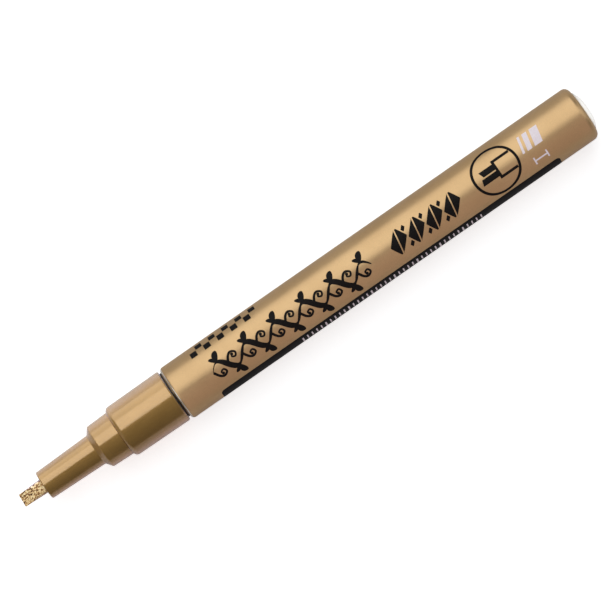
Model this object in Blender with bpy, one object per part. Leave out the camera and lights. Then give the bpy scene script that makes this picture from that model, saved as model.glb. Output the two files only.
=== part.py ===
"""Calligraphy paint marker: chisel felt nib, spring valve, ink tank with mixing balls.

The pen lies along X with its nib towards -X and its lowest flat on Z = 0. The origin is
at mid-length. Along the pen, places are stations: millimetres from the nib's tip.
Across it, they are radii in millimetres from the pen's axis. A radius is measured to the
flats of a turned piece, so every round fit keeps its clearance all the way round.
"""
import bmesh
import bpy
from math import cos, hypot, pi, radians, sin, tan
from mathutils import Matrix

MM = 0.001

# The whole pen
OVERALL = 131.9
BARREL_R = 5.75
SIDES = 32
FIT_GAP = 0.1
RUNNING_GAP = 0.15
MERGE = 1e-7
CUTTER_OVERHANG = 1.0

# Nib: a felt bar with a chisel cut on its upper face
NIB_WIDTH = 3.0
NIB_TIP_WIDTH = 2.65
NIB_THICKNESS = 2.2
NIB_LENGTH = 33.0
NIB_SQUARENESS = 3.2
NIB_POINTS = 24
CHISEL_LENGTH = 3.3
CHISEL_DROP = 0.95
TIP_SKEW = radians(3.0)

# Nib holder: the nose and the second step, with a spigot inside the collar
NOSE_FACE = 5.2
NOSE_EDGE = 0.3
NOSE_FRONT_R = 2.95
NOSE_BACK = 17.3
NOSE_BACK_R = 3.25
STEP_FRONT = 18.3
STEP_FRONT_R = 4.58
STEP_BACK = 22.7
STEP_BACK_R = 4.73
SPIGOT_R = 3.95
SPIGOT_BACK = 31.0
BUFFER_ROOM_R = 3.6
BUFFER_ROOM_FRONT = 18.6
BUFFER_FRONT = 18.75
BUFFER_BACK = 28.0

# Collar: the large section between the nib holder and the tube
COLLAR_FRONT = STEP_BACK + FIT_GAP
COLLAR_CORNER = 1.0
COLLAR_FRONT_R = 5.47
COLLAR_BACK = 35.45
COLLAR_BACK_R = 5.58
COLLAR_BACK_EDGE = 0.35
COLLAR_BORE_R = SPIGOT_R + FIT_GAP
WEB_FRONT = 31.5
WEB_BACK = 33.0
WEB_HOLE_R = 1.85
NECK_R = 4.6
PLUG_FRONT = 36.7
PLUG_R = 5.15
PLUG_BACK = 52.0

# Tube: both mouths are rolled in over the pieces that close them
TUBE_MOUTH = 35.86
TUBE_TAIL = 130.85
WALL = 0.45
BORE_R = BARREL_R - WALL
MOUTH_ROLL = 0.8
TAIL_ROLL = 1.25
MOUTH_LIP_R = NECK_R + RUNNING_GAP
TAIL_LIP_R = 4.2

# Seal in the groove between the collar and the tube
SEAL_FRONT = COLLAR_BACK + 0.08
SEAL_BACK = TUBE_MOUTH - 0.08
SEAL_R = 5.0

# Valve
VALVE_BORE_R = 3.95
HOUSING_FRONT = WEB_BACK + FIT_GAP
HOUSING_BACK = 49.2
PIN_HOLE_R = 1.6
SEAT_FRONT = 36.9
SEAT_BACK = 38.3
CHAMBER_R = 3.1
STEM_FRONT = NIB_LENGTH + FIT_GAP
PIN_R = 1.1
HEAD_FRONT = 38.2
HEAD_BACK = 39.6
HEAD_R = 2.4
GUIDE_R = 0.9
STEM_BACK = 50.9
PACKING_FRONT = 37.3
PACKING_BACK = HEAD_FRONT - FIT_GAP
PACKING_FRONT_R = 1.8
PACKING_BACK_R = 2.45
SPRING_WIRE = 0.35
SPRING_R = 1.8
SPRING_TURNS = 8.5
SPRING_STEPS_PER_TURN = 14
SPRING_CLOSED_TURNS = 1.0
SPRING_CLOSED_PITCH = 0.4
SPRING_FRONT = HEAD_BACK + FIT_GAP
RETAINER_FRONT = HOUSING_BACK + FIT_GAP
SPRING_BACK = RETAINER_FRONT - FIT_GAP
RETAINER_BACK = PLUG_BACK
RETAINER_HOLE_R = GUIDE_R + RUNNING_GAP
PORTS = 3
PORT_SIDES = 12
PORT_R = 0.85
PORT_CIRCLE_R = 2.45

# Mixing balls
BALL_R = 3.0
BALL_SEGMENTS = 20
BALL_REST_GAP = 0.1
BALL_END_GAP = 0.6
BALL_SPACING = 2.0 * BALL_R + 0.4
FRONT_BALL = PLUG_BACK + BALL_R + BALL_END_GAP

# Tail plug: a skirt inside the tube and a shallow dome outside it
SKIRT_FRONT = 120.0
SKIRT_R = BORE_R - FIT_GAP
SKIRT_BORE_R = 4.3
SKIRT_FLOOR = 129.0
PLUG_NECK_R = TAIL_LIP_R - 0.12
DOME_EDGE = 0.25
DOME_FLAT_R = 1.3
DOME_STEPS = 3

AXIS_HEIGHT = BARREL_R * MM


def at(station):
    """X of a station, in metres."""
    return (station - OVERALL / 2.0) * MM


def arc(station, radius, reach, start, end, steps):
    """Points on an arc about (station, radius); 0 degrees points to the tail, 90 outwards."""
    turn = radians(end - start) / steps
    angles = [radians(start) + turn * step for step in range(steps + 1)]
    return [(station + reach * cos(a), radius + reach * sin(a)) for a in angles]


def finish(name, colour, roughness, metallic=0.0):
    """A Principled material of one colour."""
    material = bpy.data.materials.new(name)
    material.use_nodes = True
    shader = material.node_tree.nodes["Principled BSDF"]
    shader.inputs["Base Color"].default_value = (*colour, 1.0)
    shader.inputs["Roughness"].default_value = roughness
    shader.inputs["Metallic"].default_value = metallic
    return material


def place(name, data, material, location=(0.0, 0.0, AXIS_HEIGHT)):
    """Link an object that carries one material; by default its origin is on the pen's axis."""
    piece = bpy.data.objects.new(name, data)
    piece.location = location
    data.materials.append(material)
    bpy.context.collection.objects.link(piece)
    return piece


def as_mesh(name, bm):
    """Turn a bmesh into a smooth-shaded mesh with its faces pointing out."""
    bmesh.ops.remove_doubles(bm, verts=bm.verts, dist=MERGE)
    bmesh.ops.recalc_face_normals(bm, faces=bm.faces)
    mesh = bpy.data.meshes.new(name)
    bm.to_mesh(mesh)
    bm.free()
    mesh.shade_smooth()
    mesh.set_sharp_from_angle(angle=radians(30.0))
    return mesh


def turned(name, outline, material, sides=SIDES):
    """Turn an outline of (station, radius) points about the pen's axis.

    An outline from axis to axis gives a solid piece. Any other outline is a ring's section
    and is closed back to its first point.
    """
    bm = bmesh.new()
    half_side = pi / sides
    verts = []
    for station, radius in outline:
        reach = radius / cos(half_side) * MM
        verts.append(bm.verts.new((at(station), reach * sin(half_side), reach * cos(half_side))))
    edges = [bm.edges.new(pair) for pair in zip(verts, verts[1:])]
    if outline[0][1] > 0.0:
        edges.append(bm.edges.new((verts[-1], verts[0])))
    bmesh.ops.spin(bm, geom=verts + edges, cent=(0, 0, 0), axis=(1, 0, 0), angle=2 * pi, steps=sides)
    return place(name, as_mesh(name, bm), material)


def bar(bm, width, thickness, stations, tip_scale=1.0):
    """Loft a bar of soft-cornered section through stations; its first section is narrower."""
    power = 2.0 / NIB_SQUARENESS
    rings = []
    for index, station in enumerate(stations):
        half_width = width / 2.0 * (tip_scale if index == 0 else 1.0)
        ring = []
        for point in range(NIB_POINTS):
            angle = 2 * pi * (point + 0.5) / NIB_POINTS
            across = half_width * abs(cos(angle)) ** power * (1 if cos(angle) > 0 else -1)
            up = thickness / 2.0 * abs(sin(angle)) ** power * (1 if sin(angle) > 0 else -1)
            ring.append(bm.verts.new((at(station), across * MM, up * MM)))
        rings.append(ring)
    for ring, following in zip(rings, rings[1:]):
        for index in range(NIB_POINTS):
            beside = (index + 1) % NIB_POINTS
            bm.faces.new((ring[index], ring[beside], following[beside], following[index]))
    bm.faces.new(rings[0])
    bm.faces.new(rings[-1])


def cut_off(bm, point, normal):
    """Remove what lies beyond a plane and close the cut with one face."""
    everything = bm.verts[:] + bm.edges[:] + bm.faces[:]
    cut = bmesh.ops.bisect_plane(
        bm, geom=everything, plane_co=point, plane_no=normal, clear_outer=True
    )
    rim = [item for item in cut["geom_cut"] if isinstance(item, bmesh.types.BMEdge)]
    bmesh.ops.contextual_create(bm, geom=rim)


def make_nib(material):
    """Felt bar, slightly narrower at its tip, with a chisel cut and a tip slightly off square."""
    bm = bmesh.new()
    skew_room = NIB_WIDTH / 2.0 * tan(TIP_SKEW)
    stations = (-skew_room, NOSE_FACE, NIB_LENGTH)
    bar(bm, NIB_WIDTH, NIB_THICKNESS, stations, NIB_TIP_WIDTH / NIB_WIDTH)
    tip = (at(NIB_TIP_WIDTH / 2.0 * tan(TIP_SKEW)), 0.0, 0.0)
    cut_off(bm, tip, (-cos(TIP_SKEW), sin(TIP_SKEW), 0.0))
    slope = hypot(CHISEL_LENGTH, CHISEL_DROP)
    heel = (at(CHISEL_LENGTH), 0.0, NIB_THICKNESS / 2.0 * MM)
    cut_off(bm, heel, (-CHISEL_DROP / slope, 0.0, CHISEL_LENGTH / slope))
    return place("nib", as_mesh("nib", bm), material)


def add_cutter(name, mesh):
    """A shape that only cuts others: wire in the viewport and never rendered."""
    cutter = bpy.data.objects.new(name, mesh)
    cutter.location = (0.0, 0.0, AXIS_HEIGHT)
    cutter.hide_render = True
    cutter.display_type = "WIRE"
    bpy.context.collection.objects.link(cutter)
    return cutter


def cut_with(piece, cutter):
    """Subtract a cutter from a piece."""
    boolean = piece.modifiers.new("cut", "BOOLEAN")
    boolean.operation = "DIFFERENCE"
    boolean.solver = "EXACT"
    boolean.object = cutter


def make_slot_cutter():
    """The nib's section with room to slide, through the nose and the ink buffer."""
    bm = bmesh.new()
    room = 2.0 * FIT_GAP
    ends = (NOSE_FACE - CUTTER_OVERHANG, SPIGOT_BACK)
    bar(bm, NIB_WIDTH + room, NIB_THICKNESS + room, ends)
    return add_cutter("slot_cutter", as_mesh("slot_cutter", bm))


def make_nib_holder(material):
    """Nose and second step in one moulding, hollow behind for the ink buffer."""
    outline = [(NOSE_FACE, 0.0), (NOSE_FACE, NOSE_FRONT_R - NOSE_EDGE)]
    outline += arc(NOSE_FACE + NOSE_EDGE, NOSE_FRONT_R - NOSE_EDGE, NOSE_EDGE, 150, 90, 2)
    outline += [
        (NOSE_BACK, NOSE_BACK_R),
        (STEP_FRONT, STEP_FRONT_R),
        (STEP_BACK, STEP_BACK_R),
        (STEP_BACK, SPIGOT_R),
        (SPIGOT_BACK, SPIGOT_R),
        (SPIGOT_BACK, BUFFER_ROOM_R),
        (BUFFER_ROOM_FRONT, BUFFER_ROOM_R),
        (BUFFER_ROOM_FRONT, 0.0),
    ]
    return turned("nib_holder", outline, material)


def make_ink_buffer(material):
    """Felt sleeve; the slot cutter opens it for the nib."""
    radius = BUFFER_ROOM_R - FIT_GAP
    outline = [(BUFFER_FRONT, 0.0), (BUFFER_FRONT, radius), (BUFFER_BACK, radius), (BUFFER_BACK, 0.0)]
    return turned("ink_buffer", outline, material)


def make_collar(material):
    """Large section, its neck under the tube's mouth, and the plug that holds the valve."""
    corner_r = COLLAR_FRONT_R - COLLAR_CORNER
    outline = arc(COLLAR_FRONT + COLLAR_CORNER, corner_r, COLLAR_CORNER, 160, 90, 4)
    outline += [
        (COLLAR_BACK - COLLAR_BACK_EDGE, COLLAR_BACK_R),
        (COLLAR_BACK, COLLAR_BACK_R - COLLAR_BACK_EDGE),
        (COLLAR_BACK, NECK_R),
        (PLUG_FRONT, NECK_R),
        (PLUG_FRONT, PLUG_R),
        (PLUG_BACK, PLUG_R),
        (PLUG_BACK, COLLAR_BORE_R),
        (WEB_BACK, COLLAR_BORE_R),
        (WEB_BACK, WEB_HOLE_R),
        (WEB_FRONT, WEB_HOLE_R),
        (WEB_FRONT, COLLAR_BORE_R),
        (COLLAR_FRONT, COLLAR_BORE_R),
        (COLLAR_FRONT, corner_r),
    ]
    return turned("collar", outline, material)


def make_mouth_seal(material):
    """Flat rubber ring round the collar's neck."""
    inner = NECK_R + FIT_GAP
    outline = [(SEAL_FRONT, inner), (SEAL_FRONT, SEAL_R), (SEAL_BACK, SEAL_R), (SEAL_BACK, inner)]
    return turned("mouth_seal", outline, material)


def make_barrel_tube(material):
    """Thin tube whose mouths are rolled in over the collar and over the tail plug."""
    front = (TUBE_MOUTH + MOUTH_ROLL, BARREL_R - MOUTH_ROLL)
    tail = (TUBE_TAIL - TAIL_ROLL, BARREL_R - TAIL_ROLL)
    outline = arc(*front, MOUTH_ROLL, 180, 90, 4)
    outline += arc(*tail, TAIL_ROLL, 90, 0, 6)
    outline += [(TUBE_TAIL, TAIL_LIP_R), (TUBE_TAIL - WALL, TAIL_LIP_R)]
    outline += arc(*tail, TAIL_ROLL - WALL, 0, 90, 4)
    outline += arc(*front, MOUTH_ROLL - WALL, 90, 180, 2)
    outline += [(TUBE_MOUTH + WALL, MOUTH_LIP_R), (TUBE_MOUTH, MOUTH_LIP_R)]
    return turned("barrel_tube", outline, material)


def make_valve_housing(material):
    """Seat and spring chamber, pushed into the back of the collar."""
    outline = [
        (HOUSING_FRONT, PIN_HOLE_R),
        (HOUSING_FRONT, VALVE_BORE_R),
        (HOUSING_BACK, VALVE_BORE_R),
        (HOUSING_BACK, CHAMBER_R),
        (SEAT_BACK, CHAMBER_R),
        (SEAT_BACK, CHAMBER_R - FIT_GAP),
        (SEAT_FRONT, PIN_HOLE_R),
    ]
    return turned("valve_housing", outline, material)


def make_valve_stem(material):
    """Pin that the nib pushes, the head that carries the packing, and a guide behind."""
    outline = [
        (STEM_FRONT, 0.0),
        (STEM_FRONT, PIN_R),
        (HEAD_FRONT, PIN_R),
        (HEAD_FRONT, HEAD_R),
        (HEAD_BACK, HEAD_R),
        (HEAD_BACK, GUIDE_R),
        (STEM_BACK, GUIDE_R),
        (STEM_BACK, 0.0),
    ]
    return turned("valve_stem", outline, material, SIDES // 2)


def make_valve_packing(material):
    """Rubber ring with a conical front that closes on the seat."""
    inner = PIN_R + FIT_GAP
    outline = [
        (PACKING_FRONT, inner),
        (PACKING_FRONT, PACKING_FRONT_R),
        (PACKING_BACK, PACKING_BACK_R),
        (PACKING_BACK, inner),
    ]
    return turned("valve_packing", outline, material)


def make_valve_spring(material):
    """Compression coil whose end turns lie closed."""
    curve = bpy.data.curves.new("valve_spring", "CURVE")
    curve.dimensions = "3D"
    curve.bevel_depth = SPRING_WIRE / 2.0 * MM
    curve.bevel_resolution = 1
    curve.use_fill_caps = True
    steps = int(SPRING_TURNS * SPRING_STEPS_PER_TURN)
    start = SPRING_FRONT + SPRING_WIRE / 2.0
    length = SPRING_BACK - SPRING_FRONT - SPRING_WIRE
    open_turns = SPRING_TURNS - 2.0 * SPRING_CLOSED_TURNS
    open_rise = (length - 2.0 * SPRING_CLOSED_TURNS * SPRING_CLOSED_PITCH) / open_turns
    spline = curve.splines.new("POLY")
    spline.points.add(steps)
    for step, point in enumerate(spline.points):
        turns = SPRING_TURNS * step / steps
        closed = min(turns, SPRING_CLOSED_TURNS) + max(turns - SPRING_TURNS + SPRING_CLOSED_TURNS, 0.0)
        station = start + closed * SPRING_CLOSED_PITCH + (turns - closed) * open_rise
        angle = 2 * pi * turns
        across = SPRING_R * cos(angle) * MM
        up = SPRING_R * sin(angle) * MM
        point.co = (at(station), across, up, 1.0)
    return place("valve_spring", curve, material)


def make_spring_retainer(material):
    """Disc with a guide hole for the stem; the port cutters open it for the ink."""
    outline = [
        (RETAINER_FRONT, RETAINER_HOLE_R),
        (RETAINER_FRONT, VALVE_BORE_R),
        (RETAINER_BACK, VALVE_BORE_R),
        (RETAINER_BACK, RETAINER_HOLE_R),
    ]
    return turned("spring_retainer", outline, material)


def make_port_cutter():
    """Round bars through the retainer, evenly spaced about the stem."""
    bm = bmesh.new()
    length = (RETAINER_BACK - RETAINER_FRONT + 2.0 * CUTTER_OVERHANG) * MM
    middle = at((RETAINER_FRONT + RETAINER_BACK) / 2.0)
    for port in range(PORTS):
        angle = 2 * pi * port / PORTS + pi / 2.0
        across = PORT_CIRCLE_R * cos(angle) * MM
        up = PORT_CIRCLE_R * sin(angle) * MM
        stand = Matrix.Translation((middle, across, up)) @ Matrix.Rotation(pi / 2.0, 4, "Y")
        bmesh.ops.create_cone(
            bm,
            cap_ends=True,
            segments=PORT_SIDES,
            radius1=PORT_R * MM,
            radius2=PORT_R * MM,
            depth=length,
            matrix=stand,
        )
    return add_cutter("port_cutter", as_mesh("port_cutter", bm))


def make_ball(name, station, material):
    """Steel ball that lies on the bottom of the tank."""
    bm = bmesh.new()
    bmesh.ops.create_uvsphere(
        bm, u_segments=BALL_SEGMENTS, v_segments=BALL_SEGMENTS // 2, radius=BALL_R * MM
    )
    height = AXIS_HEIGHT - (BORE_R - BALL_R - BALL_REST_GAP) * MM
    return place(name, as_mesh(name, bm), material, (at(station), 0.0, height))


def make_tail_plug(material):
    """Cup inside the tube, a neck through the rolled mouth, and a shallow dome."""
    roll = (TUBE_TAIL - TAIL_ROLL, BARREL_R - TAIL_ROLL)
    inner_roll = arc(*roll, TAIL_ROLL - WALL - FIT_GAP, 90, 0, 4)
    dome_base = TUBE_TAIL + FIT_GAP
    outline = [
        (SKIRT_FLOOR, 0.0),
        (SKIRT_FLOOR, SKIRT_BORE_R),
        (SKIRT_FRONT, SKIRT_BORE_R),
        (SKIRT_FRONT, SKIRT_R),
    ]
    outline += inner_roll
    outline += [
        (inner_roll[-1][0], PLUG_NECK_R),
        (dome_base, PLUG_NECK_R),
        (dome_base + DOME_EDGE, PLUG_NECK_R - DOME_EDGE),
    ]
    rise = OVERALL - dome_base - DOME_EDGE
    reach = PLUG_NECK_R - DOME_EDGE - DOME_FLAT_R
    for step in range(1, DOME_STEPS + 1):
        outward = 1.0 - step / DOME_STEPS
        outline.append((OVERALL - rise * outward**2, DOME_FLAT_R + reach * outward))
    outline.append((OVERALL, 0.0))
    return turned("tail_plug", outline, material)


def main():
    """Model every piece in the order of assembly."""
    for leftover in list(bpy.data.objects):
        bpy.data.objects.remove(leftover)

    inked_felt = finish("inked_felt", (0.62, 0.40, 0.17), 0.75)
    gold_plastic = finish("gold_plastic", (0.50, 0.31, 0.11), 0.28, 0.6)
    gold_lacquer = finish("gold_lacquer", (0.56, 0.36, 0.17), 0.42, 0.7)
    black_rubber = finish("black_rubber", (0.02, 0.02, 0.02), 0.6)
    buffer_felt = finish("buffer_felt", (0.80, 0.76, 0.66), 0.9)
    valve_plastic = finish("valve_plastic", (0.75, 0.75, 0.72), 0.45)
    spring_steel = finish("spring_steel", (0.62, 0.61, 0.59), 0.25, 1.0)
    ball_steel = finish("ball_steel", (0.70, 0.70, 0.70), 0.12, 1.0)
    white_plastic = finish("white_plastic", (0.86, 0.85, 0.82), 0.35)

    slot_cutter = make_slot_cutter()
    make_nib(inked_felt)
    cut_with(make_nib_holder(gold_plastic), slot_cutter)
    cut_with(make_ink_buffer(buffer_felt), slot_cutter)
    make_collar(gold_plastic)
    make_mouth_seal(black_rubber)
    make_valve_housing(valve_plastic)
    make_valve_stem(valve_plastic)
    make_valve_packing(black_rubber)
    make_valve_spring(spring_steel)
    cut_with(make_spring_retainer(valve_plastic), make_port_cutter())
    make_ball("front_ball", FRONT_BALL, ball_steel)
    make_ball("rear_ball", FRONT_BALL + BALL_SPACING, ball_steel)
    make_barrel_tube(gold_lacquer)
    make_tail_plug(white_plastic)


main()
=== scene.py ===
"""Looks of a calligraphy paint marker: gold tube and front, felt nib, printed barrel.

Places along the pen are stations, in millimetres from the nib's tip. Places across it are
radii in millimetres from the pen's axis. Marks printed on the barrel are drawn on its
unrolled surface: along the pen, and up from the middle of the printed side.
"""

import logging
from collections.abc import Callable, Iterable, Mapping, Sequence
from dataclasses import dataclass, field
from enum import Enum
from math import atan2, ceil, cos, hypot, pi, radians, sin, sqrt, tan

import bmesh
import bpy
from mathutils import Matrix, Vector, noise

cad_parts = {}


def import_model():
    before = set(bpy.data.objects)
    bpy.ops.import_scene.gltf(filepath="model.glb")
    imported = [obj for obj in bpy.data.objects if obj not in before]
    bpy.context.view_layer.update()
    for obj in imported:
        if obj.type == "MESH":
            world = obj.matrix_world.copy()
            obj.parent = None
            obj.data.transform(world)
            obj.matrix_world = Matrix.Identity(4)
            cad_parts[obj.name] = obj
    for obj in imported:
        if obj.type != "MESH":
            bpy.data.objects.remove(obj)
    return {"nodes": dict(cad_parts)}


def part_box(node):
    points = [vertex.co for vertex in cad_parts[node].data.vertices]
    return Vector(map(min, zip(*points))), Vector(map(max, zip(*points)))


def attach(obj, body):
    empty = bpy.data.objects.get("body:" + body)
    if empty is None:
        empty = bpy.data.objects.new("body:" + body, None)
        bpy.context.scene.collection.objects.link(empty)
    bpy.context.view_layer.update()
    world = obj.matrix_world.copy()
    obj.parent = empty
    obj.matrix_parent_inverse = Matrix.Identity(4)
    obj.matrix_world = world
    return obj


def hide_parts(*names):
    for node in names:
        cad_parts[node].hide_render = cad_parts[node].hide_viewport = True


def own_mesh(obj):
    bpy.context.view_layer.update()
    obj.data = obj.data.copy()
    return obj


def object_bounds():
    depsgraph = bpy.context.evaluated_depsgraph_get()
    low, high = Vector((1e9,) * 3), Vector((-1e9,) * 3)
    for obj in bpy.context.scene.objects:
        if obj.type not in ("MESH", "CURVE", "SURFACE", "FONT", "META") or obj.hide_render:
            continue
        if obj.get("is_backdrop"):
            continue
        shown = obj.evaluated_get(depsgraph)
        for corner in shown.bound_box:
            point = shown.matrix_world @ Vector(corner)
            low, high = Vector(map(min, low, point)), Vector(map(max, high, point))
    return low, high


log = logging.getLogger("marker")

MM = 0.001
MM_PER_M = 1000.0
SEGMENTS = 144
INNER_SEGMENTS = 96
SMALL_SEGMENTS = 72
FILLET_STEPS = 5
MOST_OF_A_SPAN = 0.48
HOLDING_EDGE = 0.06
SAME_PLACE = 1e-8
ON_THE_AXIS = 1e-6
SHARP = 38.0
PRINT_SHARP = 30.0
FINE_SHARP = 60.0

Colour = tuple[float, float, float]
Point = tuple[float, float]
EVEN: Colour = (1.0, 1.0, 1.0)
WHITE: Colour = (1.0, 1.0, 1.0)


# ---------------------------------------------------------------- shader maths


class Signal:
    """One output of a material's node tree, with arithmetic on it."""

    def __init__(self, bench: "Bench", socket: bpy.types.NodeSocket) -> None:
        """Wrap a socket of the bench's tree."""
        self.bench = bench
        self.socket = socket

    def __add__(self, other: "Signal | float") -> "Signal":
        """Sum of two values."""
        return self.bench.maths("ADD", self, other)

    __radd__ = __add__

    def __sub__(self, other: "Signal | float") -> "Signal":
        """Difference of two values."""
        return self.bench.maths("SUBTRACT", self, other)

    def __rsub__(self, other: float) -> "Signal":
        """Difference with the number first."""
        return self.bench.maths("SUBTRACT", other, self)

    def __mul__(self, other: "Signal | float") -> "Signal":
        """Product of two values."""
        return self.bench.maths("MULTIPLY", self, other)

    __rmul__ = __mul__

    def __pow__(self, other: "Signal | float") -> "Signal":
        """Power of a value."""
        return self.bench.maths("POWER", self, other)

    def __abs__(self) -> "Signal":
        """Size of a value without its sign."""
        return self.bench.maths("ABSOLUTE", self)

    def swing(self, reach: float) -> "Signal":
        """A value from 0 to 1 made to swing about 0, by half of reach each way."""
        return (self - 0.5) * reach


Feed = Signal | float | Colour | tuple[float, float, float, float]


class Bench:
    """A material under construction: one way of adding nodes, and short cuts built on it."""

    def __init__(self, name: str) -> None:
        """Start an empty material.

        Args:
            name: the material's name.
        """
        self.material = bpy.data.materials.new(name)
        self.material.use_nodes = True
        self.tree = self.material.node_tree
        self.tree.nodes.clear()
        self._place: Signal | None = None

    def node(
        self,
        kind: str,
        settings: Mapping[str, object] | None = None,
        feeds: Mapping[int | str, Feed] | None = None,
        output: int | str = 0,
    ) -> Signal:
        """Add one node.

        Args:
            kind: Blender's name for the type of node.
            settings: the node's own options, set first; "stops" are a ramp's.
            feeds: a value or a link for each socket, by its name or its number.
            output: the socket to hand back.

        Returns:
            The chosen output.
        """
        made = self.tree.nodes.new(kind)
        for option, value in (settings or {}).items():
            if option == "stops":
                self._set_stops(made.color_ramp, value)
            else:
                setattr(made, option, value)
        for name, value in (feeds or {}).items():
            socket = made.inputs[name]
            if isinstance(value, Signal):
                self.tree.links.new(value.socket, socket)
            elif isinstance(value, tuple) and socket.type == "RGBA" and len(value) == 3:
                socket.default_value = (*value, 1.0)
            else:
                socket.default_value = value
        return Signal(self, made.outputs[output] if made.outputs else made.inputs[0])

    @staticmethod
    def _set_stops(ramp: bpy.types.ColorRamp, stops: Sequence[tuple[float, Colour]]) -> None:
        """Give a colour ramp its stops.

        Args:
            ramp: the ramp.
            stops: position and colour of each stop.
        """
        while len(ramp.elements) < len(stops):
            ramp.elements.new(1.0)
        for element, (position, colour) in zip(ramp.elements, stops):
            element.position = position
            element.color = (*colour, 1.0)

    def maths(self, operation: str, *values: Signal | float) -> Signal:
        """A Math node on one or two values."""
        return self.node("ShaderNodeMath", {"operation": operation}, dict(enumerate(values)))

    def place(self) -> Signal:
        """The point on the piece in millimetres, in the pen's own frame.

        Returns:
            The vector, made once for each material.
        """
        if self._place is None:
            where = self.node("ShaderNodeTexCoord", output="Object")
            self._place = self.stretch(where, (MM_PER_M,) * 3)
        return self._place

    def stretch(self, vector: Signal, factors: Colour) -> Signal:
        """A vector with each of its parts scaled."""
        feeds = {0: vector, 1: factors}
        return self.node("ShaderNodeVectorMath", {"operation": "MULTIPLY"}, feeds)

    def parts(self) -> tuple[Signal, Signal, Signal]:
        """The place's three parts in millimetres: along, across and up."""
        split = [self.node("ShaderNodeSeparateXYZ", None, {0: self.place()}, i) for i in range(3)]
        return split[0], split[1], split[2]

    def grain(self, per_mm: float, detail: float = 4.0, stretch: Colour = EVEN) -> Signal:
        """Noise from 0 to 1.

        Args:
            per_mm: how many grains lie in a millimetre.
            detail: how many finer layers are added.
            stretch: how much denser the grain is along each axis.

        Returns:
            The noise value.
        """
        where = self.place() if stretch == EVEN else self.stretch(self.place(), stretch)
        feeds = {"Vector": where, "Scale": per_mm, "Detail": detail}
        return self.node("ShaderNodeTexNoise", None, feeds)

    def flakes(self, per_mm: float) -> Signal:
        """A random value for each small cell, as for metal flakes in a lacquer.

        Args:
            per_mm: how many cells lie in a millimetre.

        Returns:
            The random value.
        """
        feeds = {"Vector": self.place(), "Scale": per_mm}
        cells = self.node("ShaderNodeTexVoronoi", None, feeds, "Color")
        return self.node("ShaderNodeSeparateXYZ", None, {0: cells})

    def ramp(self, value: Signal, stops: Sequence[tuple[float, Colour]]) -> Signal:
        """A colour read from a ramp."""
        return self.node("ShaderNodeValToRGB", {"stops": stops}, {0: value})

    def between(self, value: Signal, low: float, high: float) -> Signal:
        """0 below low, 1 above high and smooth in between."""
        settings = {"interpolation_type": "SMOOTHSTEP", "clamp": True}
        return self.node("ShaderNodeMapRange", settings, {0: value, 1: low, 2: high})

    def tint(self, share: Feed, first: Feed, second: Feed, mode: str = "MIX") -> Signal:
        """A mix of two colours."""
        settings = {"data_type": "RGBA", "blend_type": mode}
        return self.node("ShaderNodeMix", settings, {0: share, 6: first, 7: second}, 2)

    def speckle(self, colour: Signal, flake: Signal, contrast: float) -> Signal:
        """A colour that is lighter or darker from flake to flake, by contrast each way."""
        factor = self.tint(flake, (1.0 - contrast,) * 3, (1.0 + contrast,) * 3)
        return self.tint(1.0, colour, factor, "MULTIPLY")

    def bump(self, height: Signal, depth_mm: float, under: Signal | None = None) -> Signal:
        """A bumped normal.

        Args:
            height: the relief, from 0 to 1.
            depth_mm: how far 1 stands above 0, in millimetres.
            under: a normal that is bumped already.

        Returns:
            The new normal.
        """
        feeds: dict[int | str, Feed] = {"Height": height, "Distance": depth_mm * MM}
        if under is not None:
            feeds["Normal"] = under
        return self.node("ShaderNodeBump", None, feeds)

    def surface(self, feeds: Mapping[str, Feed]) -> bpy.types.Material:
        """Finish the material with one Principled shader.

        Args:
            feeds: a value or a link for each socket.

        Returns:
            The material.
        """
        shader = self.node("ShaderNodeBsdfPrincipled", None, feeds)
        self.node("ShaderNodeOutputMaterial", None, {"Surface": shader})
        return self.material


# -------------------------------------------------------------------- finishes


@dataclass(frozen=True)
class PenAxis:
    """The pen's centre line in the frame.

    Attributes:
        tip_x: X of the nib's tip, in metres.
        height: Z of the centre line, in metres.
    """

    tip_x: float
    height: float

    def x(self, station: float) -> float:
        """X of a station, in metres."""
        return self.tip_x + station * MM

    def point(self, station: float, radius: float, angle: float) -> Vector:
        """A point about the axis; the angle is from the top towards +Y."""
        across = radius * MM * sin(angle)
        return Vector((self.x(station), across, self.height + radius * MM * cos(angle)))


@dataclass(frozen=True)
class Finish:
    """A finish for one kind of surface.

    Attributes:
        axis: the pen's centre line, for marks that follow it.
    """

    axis: PenAxis

    def radius(self, bench: Bench) -> Signal:
        """Distance from the pen's axis, in millimetres.

        Args:
            bench: the material being made.

        Returns:
            The distance.
        """
        _, across, up = bench.parts()
        rise = up - self.axis.height * MM_PER_M
        return (across * across + rise * rise) ** 0.5

    def station(self, bench: Bench) -> Signal:
        """Distance from the nib's tip along the pen, in millimetres.

        Args:
            bench: the material being made.

        Returns:
            The distance.
        """
        along, _, _ = bench.parts()
        return along - self.axis.tip_x * MM_PER_M


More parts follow.
